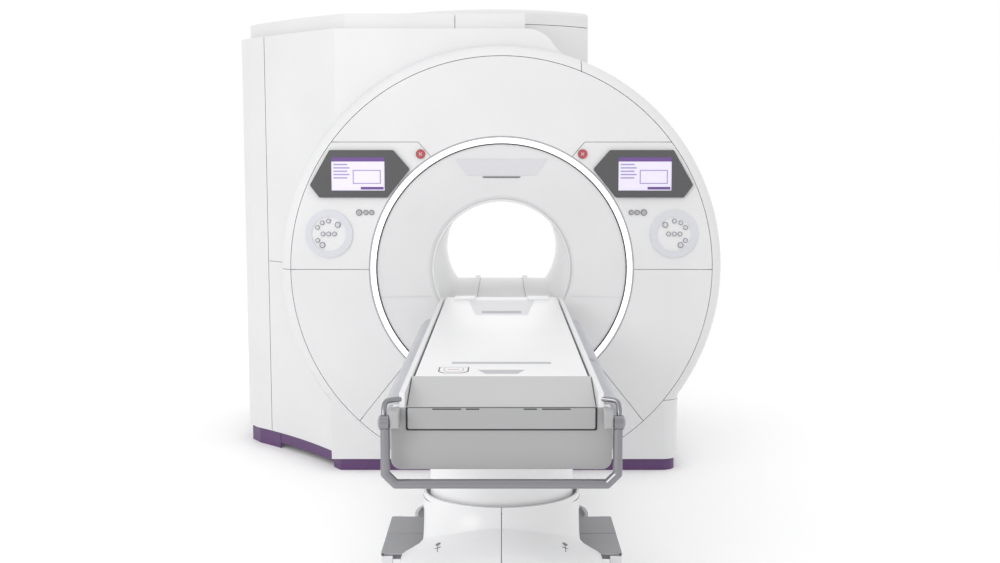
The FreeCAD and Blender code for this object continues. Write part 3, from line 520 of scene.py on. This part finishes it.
# %% Cradle
low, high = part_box("cradle")
FOOT, HEAD = low.y, high.y
RUNNER_X, RUNNER_HALF, BOARD_T = 0.150, 0.015, 0.034
board = bmesh.new()
add_block(board, (low.x, low.y, high.z - BOARD_T), high)
for x in (-RUNNER_X, RUNNER_X):
    add_block(board, (x - RUNNER_HALF, low.y, low.z), (x + RUNNER_HALF, high.y, high.z - BOARD_T - 0.2 * MM))
keep(board, "cradle_board", "cradle_body", "cradle_top", 5 * MM, 4, ("cradle",))
FINISH["recess_shade"] = surface("recess_shadow_grey", "b4b4b8", 0.45, 1.0, 0.03)
FINISH["groove_shade"] = surface("groove_shadow_grey", "77777c", 0.6, 1.0, 0.03)


def flat(name, points, z, finish):
    """A thin field lying flat on the cradle: an outline of (x, y) points."""
    mesh = prism([(x, y, z) for x, y in points], [(x, y, z - FIELD_T) for x, y in points])
    keep(mesh, name, "cradle_body", finish, 0.3 * MM, 2)


def bar(x0, x1, y0, y1):
    """The four corners of a rectangle."""
    return [(x0, y0), (x1, y0), (x1, y1), (x0, y1)]


def tapered(half0, half1, y0, y1):
    """A field whose half width changes from y0 to y1."""
    return [(-half0, y0), (half0, y0), (half1, y1), (-half1, y1)]


def smaller(points, centre, share):
    """The same outline drawn in towards a centre."""
    return [(centre[0] + (x - centre[0]) * share, centre[1] + (y - centre[1]) * share) for x, y in points]


FIELD_T = 1.2 * MM
LATCH = [(x, FOOT + y) for x, y in ((-0.190, 0.050), (-0.125, 0.050), (-0.107, 0.079),
                                    (-0.107, 0.162), (-0.208, 0.162), (-0.208, 0.079))]
LATCH_MIDDLE = (-0.1575, FOOT + 0.109)
DOCK_X = (0.130, 0.236)
LIP_X = (0.2858, 0.2885)
top = high.z + 0.5 * MM
# The slot, the grip, the latch lines and the head recess are darker fields of painted shade. The red mark is the
# latch's own colour.
flat("long_slot", bar(-0.169, 0.169, FOOT + 0.225, FOOT + 0.264), top, "recess_shade")
flat("foot_grip", tapered(0.052, 0.078, FOOT + 0.039, FOOT + 0.111), top, "recess_shade")
flat("latch_line", LATCH, top, "groove_shade")
flat("latch_plate", smaller(LATCH, LATCH_MIDDLE, 0.90), top + 0.3 * MM, "cradle_top")
flat("latch_inner_line", smaller(LATCH, LATCH_MIDDLE, 0.66), top + 0.6 * MM, "recess_shade")
flat("latch_button", smaller(LATCH, LATCH_MIDDLE, 0.58), top + 0.9 * MM, "cradle_top")
flat("latch_mark", bar(-0.176, -0.139, FOOT + 0.105, FOOT + 0.111), top + 1.2 * MM, "stop_red")
flat("head_recess", tapered(0.116, 0.162, HEAD - 0.690, HEAD - 0.140), top, "panel_shade")
flat("head_slot", bar(-0.090, 0.090, HEAD - 0.635, HEAD - 0.550), top + 0.4 * MM, "recess_shade")
for side, sign in (("left", -1), ("right", 1)):
    x0, x1 = sorted(sign * x for x in DOCK_X)
    dock = block((x0, HEAD - 0.115, high.z - 1 * MM), (x1, HEAD - 0.015, high.z + 9 * MM))
    keep(dock, side + "_dock_block", "cradle_body", "cradle_top", 4 * MM, 3)
    x0, x1 = sorted(sign * x for x in LIP_X)
    strip = block((x0, FOOT + 4 * MM, high.z - 14 * MM), (x1, HEAD - 40 * MM, high.z - 2.5 * MM))
    keep(strip, side + "_rail_lip", "table_top", "table_white", 0.8 * MM, 2)
print("cradle dressed")

# %% [markdown]
# The foot end of the cradle slopes down to a blunt nose. A profile seen from the side is
# pushed across the table, and its long edges are softened as on a pressing.

# %% Sloped cradle end
low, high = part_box("cradle_end_cap")
NOSE_Z = high.z - 0.052
slope = [(high.y, low.z), (high.y, high.z), (high.y - 16 * MM, high.z - 1 * MM),
         (low.y + 10 * MM, NOSE_Z + 1 * MM), (low.y, NOSE_Z - 2 * MM), (low.y, low.z)]
# The nose takes the lighter copy of the grey plastic, which is painted light on its upward slope.
nose = keep(across(slope, low.x, high.x), "cradle_nose", "cradle_body", "table_slope", 2 * MM, 3,
            ("cradle_end_cap",))
print("cradle end made")

# %% [markdown]
# The table's end is a wide grey moulding with round corners and a U-shaped gap, in which
# a lower box sits. It is drawn from one outline, because its corners are what the eye
# reads, and the gap is a dark sheet of painted shade that shows round the box.

# %% Table end
def rounded_outline(half, z0, z1, r_low, r_high, steps=8):
    """Box outline in (x, z) with its own radius at the lower and the upper corners."""
    corners = ((half - r_low, z0 + r_low, r_low, -90), (half - r_high, z1 - r_high, r_high, 0),
               (-half + r_high, z1 - r_high, r_high, 90), (-half + r_low, z0 + r_low, r_low, 180))
    points = []
    for cx, cz, r, start in corners:
        for i in range(steps + 1):
            a = math.radians(start + 90 * i / steps)
            points.append((cx + r * math.cos(a), cz + r * math.sin(a)))
    return points


low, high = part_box("end_cover")
SLITS = ((-0.205, -0.120), (-0.105, -0.066), (0.066, 0.105), (0.120, 0.205))
END_ROUND = 30 * MM
# The box keeps its own written size. Each step of its corners turns by 30 degrees, which is
# just where softening starts, so a change in the last digit of a size alters its edges.
BOX_HALF = 0.279
BOX_Z = (0.812, 0.8745)
outline = rounded_outline(high.x, low.z + 12 * MM, high.z + 6 * MM, END_ROUND, END_ROUND)
end = extrude_outline(outline, low.y, high.y)
keep(end, "end_moulding", "table_top", "table_grey", 4 * MM, 4, ("end_cover",))
outline = rounded_outline(high.x, high.z - 56 * MM, high.z + 20.5 * MM, 4 * MM, 18 * MM)
rim = extrude_outline(outline, low.y - 0.6 * MM, low.y + 9 * MM)
keep(rim, "end_rim", "table_top", "table_grey", 2 * MM, 3)
# The gap behind the box is a dark sheet of painted shade.
outline = rounded_outline(high.x - 45 * MM, high.z - 50 * MM, high.z + 20 * MM, 6 * MM, 2 * MM, 3)
gap = extrude_outline(outline, low.y - 1.6 * MM, low.y + 4 * MM)
keep(gap, "end_gap", "table_top", "")
outline = rounded_outline(BOX_HALF, *BOX_Z, 0.006, 0.003, 3)
box_part = extrude_outline(outline, low.y - 9 * MM, low.y + 4 * MM)
keep(box_part, "end_box", "table_top", "table_grey", 1.5 * MM)
# Each slit is a dark bar of painted shade.
for i, (x0, x1) in enumerate(SLITS):
    slit = block((x0, low.y - 9.6 * MM, high.z + 14.5 * MM), (x1, low.y - 7 * MM, high.z + 18 * MM))
    keep(slit, "end_slit_%d" % i, "table_top", "")
print("table end made")

# %% [markdown]
# The side covers are long mouldings in two lengths, each with a rounded far end that
# catches the light. Below the rail ends a steel tube bends round to the handle pivots.

# %% Side covers and hoop tubes
WING_SPANS = ((-3.255, -2.445), (-2.435, -1.285))
WING_SHAPE = ((0.306, 0.872), (0.352, 0.864), (0.376, 0.835), (0.380, 0.775), (0.366, 0.715), (0.330, 0.700))
WING_AXIS = (0.306, 0.785)        # the section shrinks towards this place, in x and z
HOOP_BENDS = ((0.300, 0.055, 0.059), (0.322, 0.045, 0.059), (0.343, 0.035, 0.057),
              (0.347, 0.020, 0.039), (0.346, 0.010, 0.021), (0.345, 0.004, 0.004))
HOOP_R = 8 * MM
EAR_X, EAR_Y, EAR_Z = (0.3005, 0.3285), (-0.0155, 0.0515), (-0.0155, 0.0357)
SWING = next(joint for joint in frame["joints"] if joint["name"] == "handlebar_swing")
_, PIVOT_Y, PIVOT_Z = SWING["pos_m"]


def wing(name, y0, y1, sign, stands_for):
    """A long curved moulding whose section shrinks to a round end."""
    mesh = bmesh.new()
    axis_x, axis_z = WING_AXIS
    stations = ((y0, 0.94), (y0 + 0.04, 1.0), (y1 - 0.10, 1.0), (y1 - 0.045, 0.93),
                (y1 - 0.012, 0.75), (y1, 0.45))
    loops = []
    for y, size in stations:
        loop = [mesh.verts.new((sign * (axis_x + (x - axis_x) * size), y, axis_z + (z - axis_z) * size))
                for x, z in WING_SHAPE]
        loops.append(loop)
    bands(mesh, loops)
    mesh.faces.new(loops[0])
    mesh.faces.new(list(reversed(loops[-1])))
    keep(mesh, name, "table_top", "table_light_grey", 8 * MM, 4, stands_for)


def pipe(name, points, radius, body, finish):
    """A bent tube through given points, made a plain mesh."""
    curve = bpy.data.curves.new(name + "_path", "CURVE")
    curve.dimensions = "3D"
    curve.bevel_depth = radius
    curve.bevel_resolution = 6
    curve.use_fill_caps = True
    line = curve.splines.new("NURBS")
    line.points.add(len(points) - 1)
    for spot, place in zip(line.points, points):
        spot.co = (*place, 1)
    line.order_u = 3
    line.use_endpoint_u = True
    line.resolution_u = 10
    maker = placed(name + "_maker", curve)
    plain = settled(maker)
    bpy.data.objects.remove(maker)
    mesh = bmesh.new()
    mesh.from_mesh(plain)
    return keep(mesh, name, body, finish)


for side, sign in (("left", -1), ("right", 1)):
    for i, (y0, y1) in enumerate(WING_SPANS):
        stands_for = (side + "_side_rail_cover",) if i == 0 else ()
        wing("%s_wing_%d" % (side, i + 1), y0, y1, sign, stands_for)
    hoop = [(sign * x, PIVOT_Y + dy, PIVOT_Z + dz) for x, dy, dz in HOOP_BENDS]
    pipe(side + "_hoop_tube", hoop, HOOP_R, "table_top", "steel")
    low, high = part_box("handlebar")
    hub_x = sign * high.x
    x0, x1 = sorted(sign * x for x in EAR_X)
    ear = block((x0, PIVOT_Y + EAR_Y[0], PIVOT_Z + EAR_Z[0]),
                (x1, PIVOT_Y + EAR_Y[1], PIVOT_Z + EAR_Z[1]))
    keep(ear, side + "_bracket_cover", "table_top", "table_grey", 5 * MM, 3)
    for name, reach, r, finish in (("hub", 3.5 * MM, 20.5 * MM, "table_grey"),
                                   ("hub_cap", 6 * MM, 12.5 * MM, "key_mark")):
        x0, x1 = sorted((hub_x - sign * 2 * MM, hub_x + sign * reach))
        disc = across(circle(PIVOT_Y, PIVOT_Z, r, 32), x0, x1)
        hub = keep(disc, "%s_pivot_%s" % (side, name), "grip", finish, 1.5 * MM, 3)
print("side covers made")

# %% [markdown]
# The base shroud is two mirrored mouldings that meet in a centre seam: an oval collar at
# the top, flaring to a broad foot. Sections from foot to collar are blended by a formula,
# which keeps the seam straight and the sides smooth.

# %% Base shroud
low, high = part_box("base_shroud_right")
COLLAR = (0.270, 0.235)
COLUMN_Y = (low.y + high.y) / 2
SHROUD_LEVELS = ((1.0, low.z, low.z), (1.0, 0.204, 0.255), (0.93, 0.217, 0.280), (0.75, 0.224, 0.303),
                 (0.50, 0.230, 0.325), (0.25, 0.240, 0.343), (0.12, 0.262, 0.353), (0.07, 0.300, 0.368),
                 (0.02, 0.360, 0.392), (0.0, 0.408, 0.412), (0.0, high.z, high.z))
SHROUD_WALL = 8 * MM
HALF_DEPTH = 0.25                 # how fast the inner wall draws in along the table
COLLAR_WALL = 12 * MM
POCKET_Z = (0.10, 0.36)
POCKET_SIDE, POCKET_END, POCKET_REACH = 6 * MM, 36 * MM, 0.5


def shroud_point(angle, foot_share):
    """A point of the section: foot_share 1 is the broad foot and 0 is the collar."""
    across_, along = math.cos(angle), math.sin(angle)
    power = 2 + 5 * foot_share
    reach = (abs(across_) ** power + abs(along) ** power) ** (-1 / power)
    top_x, top_y = COLLAR[0] + COLLAR_WALL, COLLAR[1] + COLLAR_WALL
    half_x = top_x + (high.x - top_x) * foot_share
    half_y = top_y + ((high.y - low.y) / 2 - top_y) * foot_share
    return reach * across_ * half_x, COLUMN_Y + reach * along * half_y


def cut_away(piece, cutter):
    """Take one solid out of another, and leave a plain mesh."""
    step = piece.modifiers.new("pocket", "BOOLEAN")
    step.object = cutter
    step.solver = "EXACT"
    result = settled(piece)
    piece.modifiers.remove(step)
    bpy.data.objects.remove(cutter)
    piece.data = result


def shroud_half(side, sign, steps=48):
    """One half of the shroud with its wall, and with room for the pedal cut out."""
    mesh = bmesh.new()
    loops = []
    for inset in (0.0, SHROUD_WALL):
        order = SHROUD_LEVELS if inset == 0 else tuple(reversed(SHROUD_LEVELS))
        for share, side_z, end_z in order:
            loop = []
            for i in range(steps + 1):
                angle = -math.pi / 2 + math.pi * i / steps
                x, y = shroud_point(angle, share)
                z = side_z + (end_z - side_z) * math.sin(angle) ** 2
                x = max(x - inset, 1.5 * MM)
                y = COLUMN_Y + (y - COLUMN_Y) * (1 - inset / HALF_DEPTH)
                loop.append(mesh.verts.new((sign * x, y, z)))
            loops.append(loop)
    bands(mesh, loops, round_loop=False, back_to_first=True)
    bmesh.ops.holes_fill(mesh, edges=[e for e in mesh.edges if e.is_boundary])
    bmesh.ops.recalc_face_normals(mesh, faces=mesh.faces)
    half = placed("shroud_maker", bpy.data.meshes.new("shroud_maker"))
    mesh.to_mesh(half.data)
    mesh.free()
    pedal_low, pedal_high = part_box(side + "_pedal")
    inner = min(abs(pedal_low.x), abs(pedal_high.x)) - POCKET_SIDE
    x0, x1 = sorted((sign * inner, sign * POCKET_REACH))
    room = block((x0, pedal_low.y - POCKET_END, POCKET_Z[0]), (x1, pedal_high.y + POCKET_END, POCKET_Z[1]))
    cutter = placed("pocket_maker", bpy.data.meshes.new("pocket_maker"))
    room.to_mesh(cutter.data)
    room.free()
    cut_away(half, cutter)
    cut = bmesh.new()
    cut.from_mesh(half.data)
    bpy.data.objects.remove(half)
    keep(cut, "base_moulding_" + side, "table_base", "table_white", 2 * MM, 2, ("base_shroud_" + side,))


def oval_band(name, grow, z0, z1, finish, wall=4 * MM, steps=96):
    """A thin oval hoop round the collar."""
    mesh = bmesh.new()
    loops = []
    for reach, z in ((grow - wall, z0), (grow, z0), (grow, z1), (grow - wall, z1)):
        loops.append([mesh.verts.new(((COLLAR[0] + reach) * math.cos(2 * math.pi * i / steps),
                                      COLUMN_Y + (COLLAR[1] + reach) * math.sin(2 * math.pi * i / steps), z))
                      for i in range(steps)])
    bands(mesh, loops, back_to_first=True)
    keep(mesh, name, "table_base", finish)


for side, sign in (("left", -1), ("right", 1)):
    shroud_half(side, sign)
oval_band("collar_groove", 13 * MM, 0.398, 0.402, "groove_shade")
print("base shroud made")

# %% [markdown]
# A small plain mark on each half of the foot stands in front of its pedal. Its outline is
# dropped on to the curved moulding point by point, so that it lies on the surface.

# %% Foot marks
def decal(name, points, mould):
    """A thin dark mark laid on top of a mould: each point of its outline is dropped on to it."""
    data = bpy.data.objects[mould].data
    tree = BVHTree.FromPolygons([v.co for v in data.vertices], [p.vertices[:] for p in data.polygons])
    spots = [tree.ray_cast(Vector((x, y, 1)), Vector((0, 0, -1)))[0] for x, y in points]
    above, below = Vector((0, 0, 0.7 * MM)), Vector((0, 0, 1 * MM))
    mesh = prism([p + above for p in spots], [p - below for p in spots])
    keep(mesh, name, "table_base", "groove_shade")


ICON_X, ICON_Y = 0.217, -2.945
ICON_R = 10 * MM
for side, sign in (("left", -1), ("right", 1)):
    x, mould = sign * ICON_X, "base_moulding_" + side
    head = [(x + px * 0.9, py) for px, py in circle(0, ICON_Y + 26 * MM, ICON_R, 16)]
    decal(side + "_mark_head", head, mould)
    decal(side + "_mark_stem", bar(x - 1.5 * MM, x + 1.5 * MM, ICON_Y - 28 * MM, ICON_Y + 18 * MM), mould)
    decal(side + "_mark_cross", bar(x - ICON_R, x + ICON_R, ICON_Y - 4 * MM, ICON_Y), mould)
print("foot marks made")

# %% [markdown]
# Each pedal is a rubber-faced tread in three stepped pads on a hinge barrel, with a dark
# disc of painted shade at the end of its pin. It rides on the pedal's own body and tips with it.

# %% Pedals
TREAD_CUTS = (-0.030, 0.094, 0.196, 0.404)      # from the front end of the pedal
TREAD_RISE = (4.2 * MM, 9.5 * MM)               # foot and top of the tread over the lever
PAD_STEPS = (0.0, -1 * MM, 0.0)
EYE_R, PIN_R = 7.5 * MM, 4 * MM
for side, sign in (("left", -1), ("right", 1)):
    low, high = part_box(side + "_pedal")
    inner, outer = (low.x, high.x) if sign > 0 else (high.x, low.x)
    body = side + "_pedal_body"
    cuts = [low.y + cut for cut in TREAD_CUTS]
    tread_z = [high.z + rise for rise in TREAD_RISE]
    for i, step in enumerate(PAD_STEPS):
        x0, x1 = sorted((inner + sign * 2 * MM, outer + sign * 8 * MM))
        pad = block((x0, cuts[i] + 1 * MM, tread_z[0] - 1 * MM),
                    (x1, cuts[i + 1] - 1 * MM, tread_z[1] + step))
        keep(pad, "%s_pedal_pad_%d" % (side, i + 1), body, "pedal_grey", 1.5 * MM)
    x0, x1 = sorted((inner + sign * 3 * MM, outer - sign * 39 * MM))
    riser = block((x0, low.y + 3 * MM, high.z - 9 * MM), (x1, high.y - 3 * MM, tread_z[0]))
    keep(riser, side + "_pedal_riser", body, "pedal_grey", 1 * MM)
    pin_x, pin_z = outer - sign * 0.5 * MM, high.z + 6.5 * MM
    eye = extrude_outline(circle(pin_x, pin_z, EYE_R, 24), cuts[0] - 4 * MM, cuts[0] + 3 * MM)
    keep(eye, side + "_pedal_eye", body, "pedal_grey", 1 * MM)
    # The pin end is a dark disc of painted shade, for the hole round the pin.
    pin = extrude_outline(circle(pin_x, pin_z, PIN_R, 20), cuts[0] - 4.8 * MM, cuts[0])
    keep(pin, side + "_pedal_pin", body, "")
print("pedals made")

# %% [markdown]
# The floor and the light are a studio's: one pale sweep, a wide soft source above and
# weaker ones at the sides, so that white covers still show their edges.

# %% Floor and light
FLOOR_HALF, FLOOR_T = 30, 0.02
floor_mesh = block((-FLOOR_HALF, -FLOOR_HALF, -FLOOR_T), (FLOOR_HALF, FLOOR_HALF, 0.0))
floor = placed("floor", bpy.data.meshes.new("floor"))
floor_mesh.to_mesh(floor.data)
floor_mesh.free()
floor.data.materials.append(surface("studio_floor", "fafafa", 0.7, 5.0, 0.0, speckle=0.0, glow=0.05))

bpy.context.scene.view_settings.view_transform = "Standard"
WORLD_LIGHT = 1.0
world = bpy.data.worlds.new("studio")
world.use_nodes = True
world.node_tree.nodes["Background"].inputs["Color"].default_value = (1, 1, 1, 1)
world.node_tree.nodes["Background"].inputs["Strength"].default_value = WORLD_LIGHT
bpy.context.scene.world = world


def soft_light(name, place, aim, size, watts):
    """A square area light at a place, aimed at a point."""
    data = bpy.data.lights.new(name, "AREA")
    data.size = size
    data.energy = watts
    lamp = placed(name, data)
    lamp.location = place
    lamp.rotation_euler = (Vector(aim) - Vector(place)).to_track_quat("-Z", "Y").to_euler()


soft_light("overhead", (0.5, -2.0, 5.5), (0, -0.5, 0.8), 4.0, 14)
soft_light("left_fill", (-3.2, -6.5, 3.2), (-0.9, -0.5, 1.4), 2.5, 90)
soft_light("behind_bore", (0, 4.2, 1.5), (0, 0, 0.95), 2.2, 7)
print("floor and lights ready")
